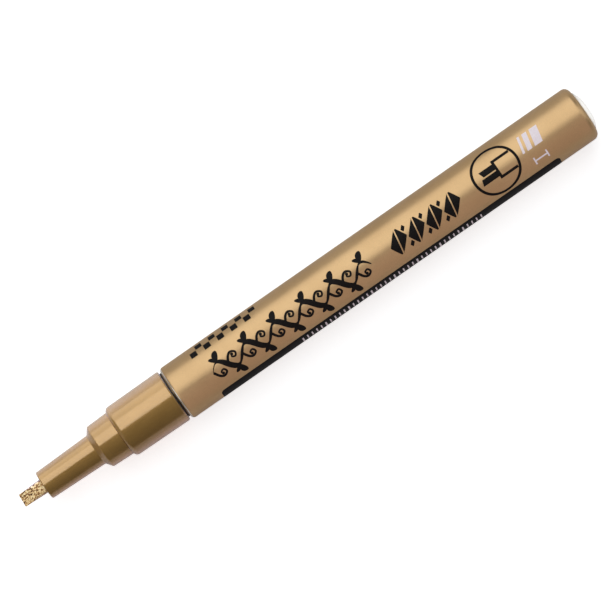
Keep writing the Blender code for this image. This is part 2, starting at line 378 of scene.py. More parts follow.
@dataclass(frozen=True)
class GoldLacquer(Finish):
    """Satin gold lacquer with fine flakes on aluminium, bare at the mouth and inside the tube.

    Attributes:
        deep: its colour where it lies thicker.
        sparkle: how much lighter or darker than the rest a flake may be.
        bare_gloss: how much smoother than the lacquer the bare metal is.
        mouth_edge: station of the lacquer's front edge.
        bore_radius: inside this radius the metal is bare.
        roll_start: station behind which even the inside is lacquered.
        edge_blur: how gradually the lacquer ends.
    """

    colour: Colour = (0.632, 0.405, 0.201)
    deep: Colour = (0.588, 0.370, 0.179)
    bare_metal: Colour = (0.90, 0.88, 0.84)
    sparkle: float = 0.08
    metallic: float = 0.85
    roughness: float = 0.39
    coat: float = 0.12
    coat_roughness: float = 0.32
    bare_gloss: float = 0.12
    mouth_edge: float = 36.26
    bore_radius: float = 5.45
    roll_start: float = 129.6
    edge_blur: float = 0.06

    def bare(self, bench: Bench) -> Signal:
        """1 where the lacquer ends and the aluminium shows, 0 elsewhere.

        Args:
            bench: the material being made.

        Returns:
            The mask.
        """
        station = self.station(bench)
        radius = self.radius(bench)
        mouth = 1 - bench.between(station, self.mouth_edge - self.edge_blur, self.mouth_edge)
        bore = 1 - bench.between(radius, self.bore_radius - self.edge_blur, self.bore_radius)
        straight = 1 - bench.between(station, self.roll_start, self.roll_start + self.edge_blur)
        return bench.maths("MAXIMUM", mouth, bore * straight)

    def build(self) -> bpy.types.Material:
        """Make the material.

        Returns:
            The finished material.
        """
        bench = Bench("gold_lacquer")
        cloud = bench.grain(per_mm=0.11, detail=3.0)
        flake = bench.flakes(per_mm=14.0)
        drawn = bench.grain(per_mm=5.0, detail=3.0, stretch=(0.05, 1.0, 1.0))
        peel = bench.grain(per_mm=2.2, detail=2.0)
        colour = bench.tint(bench.between(cloud, 0.3, 0.7), self.colour, self.deep)
        colour = bench.speckle(colour, flake, self.sparkle)
        bare = self.bare(bench)
        roughness = self.roughness + drawn.swing(0.08) + flake.swing(0.08)
        relief = peel * 0.6 + drawn * 0.4
        return bench.surface(
            {
                "Base Color": bench.tint(bare, colour, self.bare_metal),
                "Metallic": self.metallic + bare * (1.0 - self.metallic),
                "Roughness": roughness - bare * self.bare_gloss,
                "Coat Weight": self.coat,
                "Coat Roughness": self.coat_roughness,
                "Normal": bench.bump(relief, depth_mm=0.003),
            }
        )


@dataclass(frozen=True)
class MouldedGold(Finish):
    """Glossy moulded plastic with gold pearl pigment.

    Attributes:
        swirl: its colour where the pigment flowed another way.
        sparkle: how much lighter or darker than the rest a pearl flake may be.
    """

    colour: Colour = (0.500, 0.270, 0.074)
    swirl: Colour = (0.445, 0.238, 0.062)
    sparkle: float = 0.05
    metallic: float = 0.32
    roughness: float = 0.20

    def build(self) -> bpy.types.Material:
        """Make the material.

        Returns:
            The finished material.
        """
        bench = Bench("moulded_gold")
        flow = bench.grain(per_mm=0.32, detail=4.0, stretch=(0.35, 1.0, 1.0))
        pearl = bench.flakes(per_mm=18.0)
        skin = bench.grain(per_mm=3.0, detail=3.0)
        turned = bench.grain(per_mm=9.0, detail=2.0, stretch=(1.0, 0.04, 0.04))
        colour = bench.tint(bench.between(flow, 0.35, 0.65), self.colour, self.swirl)
        roughness = self.roughness + skin.swing(0.08) + pearl.swing(0.05)
        normal = bench.bump(turned, 0.0008, bench.bump(skin, depth_mm=0.0012))
        return bench.surface(
            {
                "Base Color": bench.speckle(colour, pearl, self.sparkle),
                "Metallic": self.metallic,
                "Roughness": roughness,
                "Coat Weight": 0.85,
                "Coat Roughness": 0.09,
                "Sheen Weight": 0.30,
                "Sheen Roughness": 0.30,
                "Sheen Tint": (1.0, 0.90, 0.86, 1.0),
                "Normal": normal,
            }
        )


@dataclass(frozen=True)
class InkedFelt(Finish):
    """Pressed felt soaked with gold ink, mottled dark to a cream gold that is partly painted
    highlight.

    Attributes:
        pigment: the brightest gold; its lightness is partly a painted highlight.
        dark_stops: level and colour of the darker ink, from the mottle's lowest value up.
        darkening: colour of the painted shade along the nib's two sides.
        side_shade_start: how far from the middle the painted shade begins, in millimetres.
        side_shade_full: how far from the middle it is full.
        side_shade_strength: how much of the gold it hides.
    """

    pigment: Colour = (0.97, 0.75, 0.42)
    dark_stops: tuple[tuple[float, Colour], ...] = (
        (0.395, (0.050, 0.020, 0.006)),
        (0.445, (0.29, 0.115, 0.030)),
        (0.495, (0.74, 0.410, 0.140)),
    )
    darkening: Colour = (0.085, 0.045, 0.022)
    side_shade_start: float = 1.52
    side_shade_full: float = 1.72
    side_shade_strength: float = 0.85

    def build(self) -> bpy.types.Material:
        """Make the material.

        Returns:
            The finished material.
        """
        bench = Bench("inked_felt")
        _, across, _ = bench.parts()
        clots = bench.grain(per_mm=3.0, detail=5.0, stretch=(0.7, 1.0, 1.0))
        fibres = bench.grain(per_mm=9.0, detail=5.0, stretch=(0.35, 1.0, 1.0))
        pits = bench.grain(per_mm=6.0, detail=3.0)
        mixture = clots * 0.70 + fibres * 0.30
        # The mottle runs from nearly black up to the pigment's cream gold, which is partly painted
        # highlight.
        colour = bench.ramp(mixture, (*self.dark_stops, (0.550, self.pigment)))
        # Painted shade: the felt darkens towards both of the nib's sides, standing in for their
        # shadow.
        edge = bench.between(abs(across) + clots * 0.5, self.side_shade_start, self.side_shade_full)
        colour = bench.tint(edge * self.side_shade_strength, colour, self.darkening)
        wet = bench.between(mixture, 0.45, 0.6)
        normal = bench.bump(pits, 0.04, bench.bump(fibres, depth_mm=0.05))
        return bench.surface(
            {
                "Base Color": colour,
                "Metallic": wet * 0.25,
                "Roughness": 0.72 - wet * 0.22,
                "Normal": normal,
            }
        )


@dataclass(frozen=True)
class DryFelt(Finish):
    """Undyed felt of the ink buffer."""

    def build(self) -> bpy.types.Material:
        """Make the material.

        Returns:
            The finished material.
        """
        bench = Bench("buffer_felt")
        fibres = bench.grain(per_mm=6.0, detail=6.0, stretch=(0.3, 1.0, 1.0))
        darkening = bench.between(bench.grain(per_mm=0.4, detail=4.0), 0.45, 0.65)
        colour = bench.ramp(fibres, ((0.3, (0.58, 0.53, 0.43)), (0.7, (0.86, 0.83, 0.74))))
        colour = bench.tint(darkening * 0.5, colour, (0.55, 0.36, 0.15))
        normal = bench.bump(fibres, depth_mm=0.05)
        return bench.surface({"Base Color": colour, "Roughness": 0.92, "Normal": normal})


@dataclass(frozen=True)
class BlackRubber(Finish):
    """Matt black rubber with a fine grain."""

    def build(self) -> bpy.types.Material:
        """Make the material.

        Returns:
            The finished material.
        """
        bench = Bench("black_rubber")
        grain = bench.grain(per_mm=8.0, detail=4.0)
        colour = bench.ramp(grain, ((0.3, (0.010, 0.009, 0.009)), (0.7, (0.028, 0.026, 0.025))))
        return bench.surface(
            {
                "Base Color": colour,
                "Roughness": 0.55 + grain * 0.15,
                "Normal": bench.bump(grain, depth_mm=0.006),
            }
        )


@dataclass(frozen=True)
class PlainPlastic(Finish):
    """Natural moulded plastic, cloudy and slightly waxy.

    Attributes:
        name: the material's name.
        colour: its main colour.
        shade: the colour where it is denser.
        roughness: its mean roughness.
    """

    name: str = "valve_plastic"
    colour: Colour = (0.76, 0.76, 0.73)
    shade: Colour = (0.68, 0.68, 0.64)
    roughness: float = 0.42

    def build(self) -> bpy.types.Material:
        """Make the material.

        Returns:
            The finished material.
        """
        bench = Bench(self.name)
        cloud = bench.grain(per_mm=0.5, detail=4.0)
        skin = bench.grain(per_mm=4.0, detail=3.0)
        colour = bench.tint(bench.between(cloud, 0.35, 0.65), self.colour, self.shade)
        return bench.surface(
            {
                "Base Color": colour,
                "Roughness": self.roughness + skin.swing(0.12),
                "Subsurface Weight": 0.06,
                "Subsurface Radius": (0.6 * MM, 0.55 * MM, 0.5 * MM),
                "Normal": bench.bump(skin, depth_mm=0.002),
            }
        )


@dataclass(frozen=True)
class Steel(Finish):
    """Steel with the marks of its making.

    Attributes:
        name: the material's name.
        colour: its reflection colour.
        roughness: its mean roughness.
        marks: how dense the marks are along each axis.
    """

    name: str = "spring_steel"
    colour: Colour = (0.62, 0.61, 0.59)
    roughness: float = 0.26
    marks: Colour = (1.0, 1.0, 1.0)

    def build(self) -> bpy.types.Material:
        """Make the material.

        Returns:
            The finished material.
        """
        bench = Bench(self.name)
        marks = bench.grain(per_mm=9.0, detail=4.0, stretch=self.marks)
        colour = bench.tint(marks * 0.25, self.colour, (0.30, 0.28, 0.25))
        return bench.surface(
            {
                "Base Color": colour,
                "Metallic": 1.0,
                "Roughness": self.roughness + marks.swing(0.16),
                "Normal": bench.bump(marks, depth_mm=0.0012),
            }
        )


class InkTone(Enum):
    """The two inks of the print: material name, colour and lighter variation."""

    BLACK = ("black_ink", (0.0045, 0.0032, 0.0028), (0.0105, 0.0078, 0.0070))
    PALE = ("pale_ink", (0.83, 0.70, 0.745), (0.88, 0.80, 0.82))


@dataclass(frozen=True)
class PrintInk(Finish):
    """Screen-printed ink: a thin film with a slight grain.

    Attributes:
        tone: which of the two inks it is.
    """

    tone: InkTone = InkTone.BLACK

    def build(self) -> bpy.types.Material:
        """Make the material.

        Returns:
            The finished material.
        """
        name, colour, lighter = self.tone.value
        bench = Bench(name)
        film = bench.grain(per_mm=5.0, detail=4.0)
        return bench.surface(
            {
                "Base Color": bench.tint(bench.between(film, 0.35, 0.7), colour, lighter),
                "Roughness": 0.42 + film * 0.16,
                "Specular IOR Level": 0.10,
                "Normal": bench.bump(film, depth_mm=0.0015),
            }
        )


@dataclass(frozen=True)
class PalePaper(Finish):
    """Seamless paper of the studio floor, lit from behind so that it looks white.

    Attributes:
        shade: its colour as a reflector.
        glow: its own light where it is seen.
    """

    shade: float = 0.80
    glow: float = 0.70

    def build(self) -> bpy.types.Material:
        """Make the material.

        Returns:
            The finished material.
        """
        bench = Bench("pale_paper")
        tooth = bench.grain(per_mm=1.2, detail=3.0)
        darker = self.shade * 0.97
        colour = bench.ramp(tooth, ((0.3, (darker,) * 3), (0.7, (self.shade,) * 3)))
        sheet = {"Base Color": colour, "Roughness": 0.9, "Specular IOR Level": 0.0}
        plain = bench.node("ShaderNodeBsdfPrincipled", None, sheet)
        lit = {**sheet, "Emission Color": WHITE, "Emission Strength": self.glow}
        glowing = bench.node("ShaderNodeBsdfPrincipled", None, lit)
        seen = bench.node("ShaderNodeLightPath", None, None, "Is Camera Ray")
        paper = bench.node("ShaderNodeMixShader", None, {0: seen, 1: plain, 2: glowing})
        bench.node("ShaderNodeOutputMaterial", None, {"Surface": paper})
        return bench.material


# -------------------------------------------------------------------- geometry


@dataclass(frozen=True)
class SlotSection:
    """Soft-cornered section of the nib or of the slot that holds it.

    Attributes:
        half_width: half its width across the pen.
        half_thickness: half its thickness.
        squareness: exponent of its outline; a higher one has sharper corners.
    """

    half_width: float
    half_thickness: float
    squareness: float = 3.2

    def reach(self, angle: float) -> float:
        """Distance from its middle to its outline.

        Args:
            angle: from the top towards +Y, in radians.

        Returns:
            The distance.
        """
        across = abs(sin(angle) / self.half_width) ** self.squareness
        up = abs(cos(angle) / self.half_thickness) ** self.squareness
        return (across + up) ** (-1.0 / self.squareness)

    def grown(self, margin: float) -> "SlotSection":
        """The same section with a margin all round."""
        return SlotSection(self.half_width + margin, self.half_thickness + margin, self.squareness)


@dataclass(frozen=True)
class Corner:
    """A corner of a turned piece's outline.

    Attributes:
        station: its place along the pen.
        reach: its radius, or the section that the piece has there.
        fillet: the radius that rounds it off.
    """

    station: float
    reach: float | SlotSection
    fillet: float = 0.0

    def spot(self) -> Vector:
        """The corner as a flat point; a section counts with half its width."""
        across = self.reach.half_width if isinstance(self.reach, SlotSection) else self.reach
        return Vector((self.station, across))


Ring = tuple[float, float | SlotSection]
Loops = Sequence[Sequence[bmesh.types.BMVert]]


def outline(*rows: tuple[float | SlotSection, ...]) -> tuple[Corner, ...]:
    """Corners from rows of station, radius or section, and fillet where there is one."""
    return tuple(Corner(*row) for row in rows)


def arc(
    station: float, radius: float, reach: float, start: float, end: float, steps: int
) -> list[Corner]:
    """Corners on an arc.

    Args:
        station: place of its centre along the pen.
        radius: distance of its centre from the axis.
        reach: its own radius.
        start: first angle in degrees; 0 points to the tail and 90 outwards.
        end: last angle in degrees.
        steps: how many spans it has.

    Returns:
        The corners, in order.
    """
    angles = [radians(start + (end - start) * step / steps) for step in range(steps + 1)]
    return [Corner(station + reach * cos(a), radius + reach * sin(a)) for a in angles]


def round_corner(before: Corner, here: Corner, after: Corner) -> list[Point]:
    """Points of the arc that replaces one corner.

    Args:
        before: the corner ahead of it.
        here: the corner to round.
        after: the corner that follows.

    Returns:
        The arc's points.
    """
    spot = here.spot()
    back = before.spot() - spot
    ahead = after.spot() - spot
    half = back.angle(ahead) / 2.0
    longest = MOST_OF_A_SPAN * min(back.length, ahead.length)
    setback = min(here.fillet / tan(half), longest)
    reach = setback * tan(half)
    centre = spot + (back.normalized() + ahead.normalized()).normalized() * (reach / sin(half))
    first = spot + back.normalized() * setback - centre
    last = spot + ahead.normalized() * setback - centre
    swing = atan2(first.x * last.y - first.y * last.x, first.dot(last))
    begin = atan2(first.y, first.x)
    angles = [begin + swing * step / FILLET_STEPS for step in range(FILLET_STEPS + 1)]
    return [(centre.x + reach * cos(a), centre.y + reach * sin(a)) for a in angles]


def soften(corners: Sequence[Corner], closed: bool) -> list[Ring]:
    """Round every corner that has a fillet, and hold long spans with an edge near each end.

    Args:
        corners: the outline.
        closed: true for a ring's section, false for an outline from axis to axis.

    Returns:
        The rings to build, from first to last.
    """
    rings: list[Ring] = []
    count = len(corners)
    for index, corner in enumerate(corners):
        at_end = not closed and index in (0, count - 1)
        if corner.fillet == 0.0 or at_end:
            rings.append((corner.station, corner.reach))
        else:
            rings += round_corner(corners[index - 1], corner, corners[(index + 1) % count])
    held: list[Ring] = []
    for index, ring in enumerate(rings):
        held.append(ring)
        following = rings[(index + 1) % len(rings)]
        if index == len(rings) - 1 and not closed:
            break
        if isinstance(ring[1], SlotSection) or isinstance(following[1], SlotSection):
            continue
        span = hypot(following[0] - ring[0], following[1] - ring[1])
        if span > 4.0 * HOLDING_EDGE:
            for share in (HOLDING_EDGE / span, 1.0 - HOLDING_EDGE / span):
                held.append(tuple(a + (b - a) * share for a, b in zip(ring, following)))
    return held


def finish_mesh(name: str, bm: bmesh.types.BMesh, sharp_degrees: float = SHARP) -> bpy.types.Object:
    """Turn a bmesh into a smooth-shaded object with its faces pointing out.

    Args:
        name: the piece's name.
        bm: its geometry, in metres in the frame; it is freed.
        sharp_degrees: edges bent more than this stay sharp.

    Returns:
        The object, linked to the scene.
    """
    bmesh.ops.remove_doubles(bm, verts=bm.verts, dist=SAME_PLACE)
    bmesh.ops.recalc_face_normals(bm, faces=bm.faces)
    mesh = bpy.data.meshes.new(name)
    bm.to_mesh(mesh)
    bm.free()
    mesh.shade_smooth()
    mesh.set_sharp_from_angle(angle=radians(sharp_degrees))
    piece = bpy.data.objects.new(name, mesh)
    bpy.context.scene.collection.objects.link(piece)
    return piece


def skin_rings(bm: bmesh.types.BMesh, rings: Loops, closed: bool) -> None:
    """Join neighbouring rings of vertices with faces; a ring of one vertex is a pole.

    Args:
        bm: the mesh.
        rings: its rings, in order.
        closed: true where the last ring joins the first.
    """
    pairs = list(zip(rings, rings[1:]))
    if closed:
        pairs.append((rings[-1], rings[0]))
    for ring, following in pairs:
        for index in range(max(len(ring), len(following))):
            beside = index + 1
            corners = [ring[index % len(ring)], ring[beside % len(ring)]]
            corners += [following[beside % len(following)], following[index % len(following)]]
            unique = list(dict.fromkeys(corners))
            if len(unique) > 2:
                bm.faces.new(unique)


def cap_tube(bm: bmesh.types.BMesh, rings: Loops) -> None:
    """Join rings into a tube and close both of its ends.

    Args:
        bm: the mesh.
        rings: its rings, in order.
    """
    skin_rings(bm, rings, False)
    bm.faces.new(rings[0])
    bm.faces.new(rings[-1])


def turn(
    name: str, axis: PenAxis, corners: Sequence[Corner], segments: int = SEGMENTS
) -> bpy.types.Object:
    """Turn an outline about the pen's axis.

    Args:
        name: the piece's name.
        axis: the pen's centre line.
        corners: the outline; from axis to axis for a solid piece, else a ring's section.
        segments: how many faces it has round the axis.

    Returns:
        The finished object.
    """
    first = corners[0].reach
    closed = isinstance(first, SlotSection) or first > 0.0
    bm = bmesh.new()
    rings = []
    for station, reach in soften(corners, closed):
        if not isinstance(reach, SlotSection) and reach < ON_THE_AXIS:
            rings.append([bm.verts.new(axis.point(station, 0.0, 0.0))])
            continue
        ring = []
        for index in range(segments):
            angle = 2 * pi * index / segments
            radius = reach.reach(angle) if isinstance(reach, SlotSection) else reach
            ring.append(bm.verts.new(axis.point(station, radius, angle)))
        rings.append(ring)
    skin_rings(bm, rings, closed)
    return finish_mesh(name, bm)


@dataclass(frozen=True)
class TurnedPart:
    """The drawing of a turned piece.

    Attributes:
        name: the piece's name.
        node: the frame's node that it stands for.
        slot: the record's slot for its finish.
        corners: its outline.
        body: the body that it moves with.
        segments: how many faces it has round the axis.
    """

    name: str
    node: str
    slot: str
    corners: tuple[Corner, ...]
    body: str = "barrel"
    segments: int = SEGMENTS


@dataclass
class Assembly:
    """A sub-assembly of the pen.

    Attributes:
        axis: the pen's centre line.
        made: every piece it has built, in order.
    """

    axis: PenAxis
    made: list[bpy.types.Object] = field(default_factory=list, kw_only=True)

    def fit(
        self,
        piece: bpy.types.Object,
        material: bpy.types.Material,
        body: str,
        slot: str,
        *nodes: str,
    ) -> bpy.types.Object:
        """Dress a piece and hang it on the frame.

        Args:
            piece: the object.
            material: its finish.
            body: the body that it moves with.
            slot: the record's slot for its finish; not used.
            nodes: the frame's nodes that it stands for.

        Returns:
            The same object.
        """
        piece.data.materials.clear()
        piece.data.materials.append(material)
        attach(piece, body)
        if nodes:
            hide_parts(*nodes)
        self.made.append(piece)
        return piece

    def turned(self, part: TurnedPart, material: bpy.types.Material) -> None:
        """Turn a piece from its drawing and fit it."""
        piece = turn(part.name, self.axis, part.corners, part.segments)
        self.fit(piece, material, part.body, part.slot, part.node)


# ---------------------------------------------------------------- sub-assemblies

SLOT = SlotSection(1.6, 1.2)


@dataclass
class FeltNib(Assembly):
    """The flat felt nib with its chisel cut.

    Attributes:
        root: station where it has its full width.
        cut_blend: how softly the cut runs into the section's round top.
        cut_lift: what that softness takes off the top, given back.
        skew: how far off square the tip is cut, in radians.
        cap_shares: insets of the rings on the tip's face, as shares of its half width.
        rear_corner: length and depth of the chamfer at the rear end.
        fuzz: depth of the felt's surface, which fades out before fuzz_end.
        relief_from: how far behind and above a ring's middle the relief points away from.
        fibres_per_mm: how dense the fibres are along the nib and across it.
        finer: how much denser the second layer of fibres is.
        sink: share of the depth that the surface lies lower than its outline.
        spacing: distance between rings as far as fine_end.
    """

    length: float = 33.0
    section: SlotSection = SlotSection(1.5, 1.1)
    tip_half_width: float = 1.325
    root: float = 5.2
    chisel_length: float = 3.3
    chisel_drop: float = 0.95
    cut_blend: float = 0.05
    cut_lift: float = 0.012
    skew: float = radians(3.0)
    edge: float = 0.14
    cap_shares: tuple[float, ...] = (0.9, 0.7, 0.5, 0.32, 0.2)
    rear_stations: tuple[float, ...] = (9.0, 18.0)
    rear_corner: Point = (0.3, 0.12)
    fuzz: float = 0.035
    fuzz_end: float = 5.6
    fuzz_fade: float = 0.6
    relief_from: Point = (0.6, -0.2)
    fibres_per_mm: Point = (1.6, 4.5)
    finer: float = 2.7
    sink: float = 0.35
    fine_end: float = 5.8
    spacing: float = 0.09
    points: int = 120

    def build(self, finish: InkedFelt) -> None:
        """Build the nib and dress it.

        Args:
            finish: the nib's finish.
        """
        behind, above = self.relief_from
        bm = bmesh.new()
        rings = []
        for station, inset in self._stations():
            middle = Vector((station + behind, 0.0, above))
            places = [self._felted(spot, middle) for spot in self._ring(station, inset)]
            rings.append([bm.verts.new(self._in_frame(spot)) for spot in places])
        cap_tube(bm, rings)
        piece = finish_mesh("felt_nib", bm, FINE_SHARP)
        self.fit(piece, finish.build(), "nib", "inked_felt", "nib")

    def _stations(self) -> list[Point]:
        """Station and inset of each ring, from the middle of the tip to the rear end.

        Returns:
            The rings' places and insets, in order.
        """
        cap = [(0.0, share * self.tip_half_width) for share in self.cap_shares]
        rim = [radians(angle) for angle in (0, 22.5, 45, 67.5, 90)]
        cap += [(self.edge * (1 - cos(a)), self.edge * (1 - sin(a))) for a in rim]
        steps = int((self.fine_end - self.edge) / self.spacing)
        body = [(self.edge + self.spacing * (step + 1), 0.0) for step in range(steps)]
        body += [(station, 0.0) for station in self.rear_stations]
        chamfer, inset = self.rear_corner
        return cap + body + [(self.length - chamfer, 0.0), (self.length, inset)]

    def _ring(self, station: float, inset: float) -> list[Vector]:
        """Points round the nib at one station, drawn in by an inset.

        Args:
            station: place along the pen.
            inset: how far inside the nib's outline the ring lies.

        Returns:
            Points as station, across and up.
        """
        widening = min(station / self.root, 1.0)
        width = self.tip_half_width + (self.section.half_width - self.tip_half_width) * widening
        shape = SlotSection(width, self.section.half_thickness)
        cut = max(0.0, 1.0 - station / self.chisel_length)
        ceiling = shape.half_thickness - self.chisel_drop * cut
        low = -shape.half_thickness + inset
        lean = tan(self.skew) * max(0.0, 1.0 - station / self.root)
        ring = []
        for index in range(self.points):
            angle = 2 * pi * index / self.points
            reach = shape.reach(angle)
            across = reach * sin(angle)
            up = reach * cos(angle)
            up = (up + ceiling - hypot(up - ceiling, self.cut_blend)) / 2.0 + self.cut_lift
            across = max(-width + inset, min(width - inset, across))
            up = max(low, min(ceiling - inset, up))
            ring.append(Vector((station + (self.tip_half_width + across) * lean, across, up)))
        return ring

    def _felted(self, spot: Vector, middle: Vector) -> Vector:
        """Push a point in or out as the felt's fibres do.

        Args:
            spot: the point, as station, across and up.
            middle: the point that the relief points away from.

        Returns:
            The moved point.
        """
        along, around = self.fibres_per_mm
        fibre = Vector((spot.x * along, spot.y * around, spot.z * around))
        depth = noise.noise(fibre) + noise.noise(fibre * self.finer) / 2.0
        fade = max(0.0, min(1.0, (self.fuzz_end - spot.x) / self.fuzz_fade))
        return spot + (spot - middle).normalized() * (depth - self.sink) * self.fuzz * fade

    def _in_frame(self, spot: Vector) -> Vector:
        """A point given as station, across and up, placed in the frame."""
        return Vector((self.axis.x(spot.x), spot.y * MM, self.axis.height + spot.z * MM))


@dataclass
class FrontSection(Assembly):
    """Nose with the second step, the large collar, the ink buffer and the mouth seal."""

    nose: TurnedPart = TurnedPart(
        "nose_moulding",
        "nib_holder",
        "gold_plastic",
        (
            # flared mouth of the slot
            *outline((5.5, SLOT), (5.32, SLOT.grown(0.03)), (5.23, SLOT.grown(0.09))),
            *outline((5.2, SLOT.grown(0.17)), (5.2, 2.2)),
            # nose and second step
            *outline((5.2, 2.95, 0.24), (17.3, 3.25, 0.35)),
            *outline((18.3, 4.58, 0.30), (22.82, 4.73, 0.07)),
            # spigot in the collar, and the room for the buffer inside it
            *outline((22.82, 3.95, 0.05), (31.0, 3.95, 0.15), (31.0, 3.6, 0.10), (18.6, 3.6, 0.10)),
            *outline((18.6, SLOT)),
        ),
    )
    collar: TurnedPart = TurnedPart(
        "collar_moulding",
        "collar",
        "gold_plastic",
        (
            # shoulder and grip
            *arc(23.8, 4.47, 1.0, 176, 90, 12),
            *outline((35.45, 5.58, 0.32), (35.45, 4.6, 0.05)),
            # neck under the seal, and the plug in the tube
            *outline((36.7, 4.6, 0.05), (36.7, 5.15, 0.08), (52.0, 5.15, 0.25), (52.0, 4.05, 0.10)),
            # bore, with the floor that the valve stands on
            *outline((33.0, 4.05, 0.08), (33.0, 1.85, 0.08)),
            *outline((31.5, 1.85, 0.08), (31.5, 4.05, 0.08), (22.8, 4.05, 0.10)),
        ),
    )
    buffer: TurnedPart = TurnedPart(
        "buffer_sleeve",
        "ink_buffer",
        "buffer_felt",
        outline(
            (18.75, SLOT),
            (18.75, 2.2),
            (18.75, 3.5, 0.35),
            (28.0, 3.5, 0.35),
            (28.0, 2.2),
            (28.0, SLOT),
        ),
        segments=INNER_SEGMENTS,
    )
    # The seal is a black rubber gasket; its black is also painted shade, standing in for the shadow
    # in the groove between the collar and the tube's mouth.
    seal: TurnedPart = TurnedPart(
        "seal_ring",
        "mouth_seal",
        "black_rubber",
        outline((35.53, 4.7, 0.05), (35.53, 5.0, 0.12), (35.78, 5.0, 0.12), (35.78, 4.7, 0.05)),
    )

    def build(self, gold: MouldedGold, felt: DryFelt, rubber: BlackRubber) -> None:
        """Build and dress the four pieces.

        Args:
            gold: finish of the nose and the collar.
            felt: finish of the buffer.
            rubber: finish of the seal.
        """
        moulded = gold.build()
        self.turned(self.nose, moulded)
        self.turned(self.collar, moulded)
        self.turned(self.buffer, felt.build())
        self.turned(self.seal, rubber.build())


@dataclass
class Valve(Assembly):
    """The spring valve behind the nib.

    Attributes:
        housing: seat and spring chamber.
        stem: pin, head and guide.
        packing: rubber ring that closes on the seat.
        wire: diameter of the spring's wire.
        coil_radius: from the axis to the middle of the wire.
        coil_turns: its turns, with a closed one at each end.
        coil_front: its moving end.
        coil_back: its fixed end.
        closed_pitch: how far a closed turn advances.
        stroke: how far the valve opens.
    """

    housing: TurnedPart = TurnedPart(
        "seat_housing",
        "valve_housing",
        "valve_plastic",
        (
            *outline((33.1, 1.6, 0.08), (33.1, 3.95, 0.25), (49.2, 3.95, 0.15), (49.2, 3.1, 0.10)),
            *outline((38.3, 3.1, 0.03), (38.3, 3.0, 0.03), (36.9, 1.6, 0.08)),
        ),
        segments=INNER_SEGMENTS,
    )
    stem: TurnedPart = TurnedPart(
        "push_stem",
        "valve_stem",
        "valve_plastic",
        (
            *outline((33.1, 0.0), (33.1, 1.1, 0.25), (38.2, 1.1, 0.10), (38.2, 2.4, 0.12)),
            *outline((39.6, 2.4, 0.15), (39.6, 0.9, 0.12), (50.9, 0.9, 0.30), (50.9, 0.0)),
        ),
        body="valve",
        segments=SMALL_SEGMENTS,
    )
    packing: TurnedPart = TurnedPart(
        "packing_ring",
        "valve_packing",
        "black_rubber",
        outline((37.3, 1.2, 0.06), (37.3, 1.8, 0.14), (38.1, 2.45, 0.14), (38.1, 1.2, 0.06)),
        body="valve",
        segments=SMALL_SEGMENTS,
    )
    wire: float = 0.35
    coil_radius: float = 1.8
    coil_turns: float = 8.5
    coil_front: float = 39.7
    coil_back: float = 49.2
    closed_pitch: float = 0.4
    stroke: float = 1.5
    steps_per_turn: int = 36
    wire_sides: int = 14

    def build(
        self,
        plastic: PlainPlastic,
        rubber: BlackRubber,
        steel: Steel,
        retainer: bpy.types.Object,
    ) -> None:
        """Build and dress the valve's pieces.

        Args:
            plastic: finish of the mouldings.
            rubber: finish of the packing.
            steel: finish of the spring.
            retainer: the frame's spring retainer, which keeps its own shape.
        """
        moulded = plastic.build()
        self.turned(self.housing, moulded)
        self.turned(self.stem, moulded)
        self.turned(self.packing, rubber.build())
        coil = self.fit(self.spring(), steel.build(), "barrel", "spring_steel", "valve_spring")
        fixed_end = (self.axis.x(self.coil_back), 0.0, self.axis.height)
        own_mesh(coil)
        retainer.data.materials.clear()
        retainer.data.materials.append(moulded)

    def spring(self) -> bpy.types.Object:
        """Round-wire coil with closed end turns.

        Returns:
            The coil.
        """
        half_wire = self.wire / 2.0
        start = self.coil_front + half_wire
        length = self.coil_back - self.coil_front - self.wire
        open_pitch = (length - 2.0 * self.closed_pitch) / (self.coil_turns - 2.0)
        steps = int(self.coil_turns * self.steps_per_turn)
        bm = bmesh.new()
        rings = []
        for step in range(steps + 1):
            turns = self.coil_turns * step / steps
            closed = min(turns, 1.0) + max(turns - self.coil_turns + 1.0, 0.0)
            station = start + closed * self.closed_pitch + (turns - closed) * open_pitch
            angle = 2 * pi * turns + pi / 2.0
            ring = []
            for side in range(self.wire_sides):
                about = 2 * pi * side / self.wire_sides
                radius = self.coil_radius + half_wire * cos(about)
                place = self.axis.point(station + half_wire * sin(about), radius, -angle)
                ring.append(bm.verts.new(place))
            rings.append(ring)
        cap_tube(bm, rings)
        return finish_mesh("spring_coil", bm, FINE_SHARP)


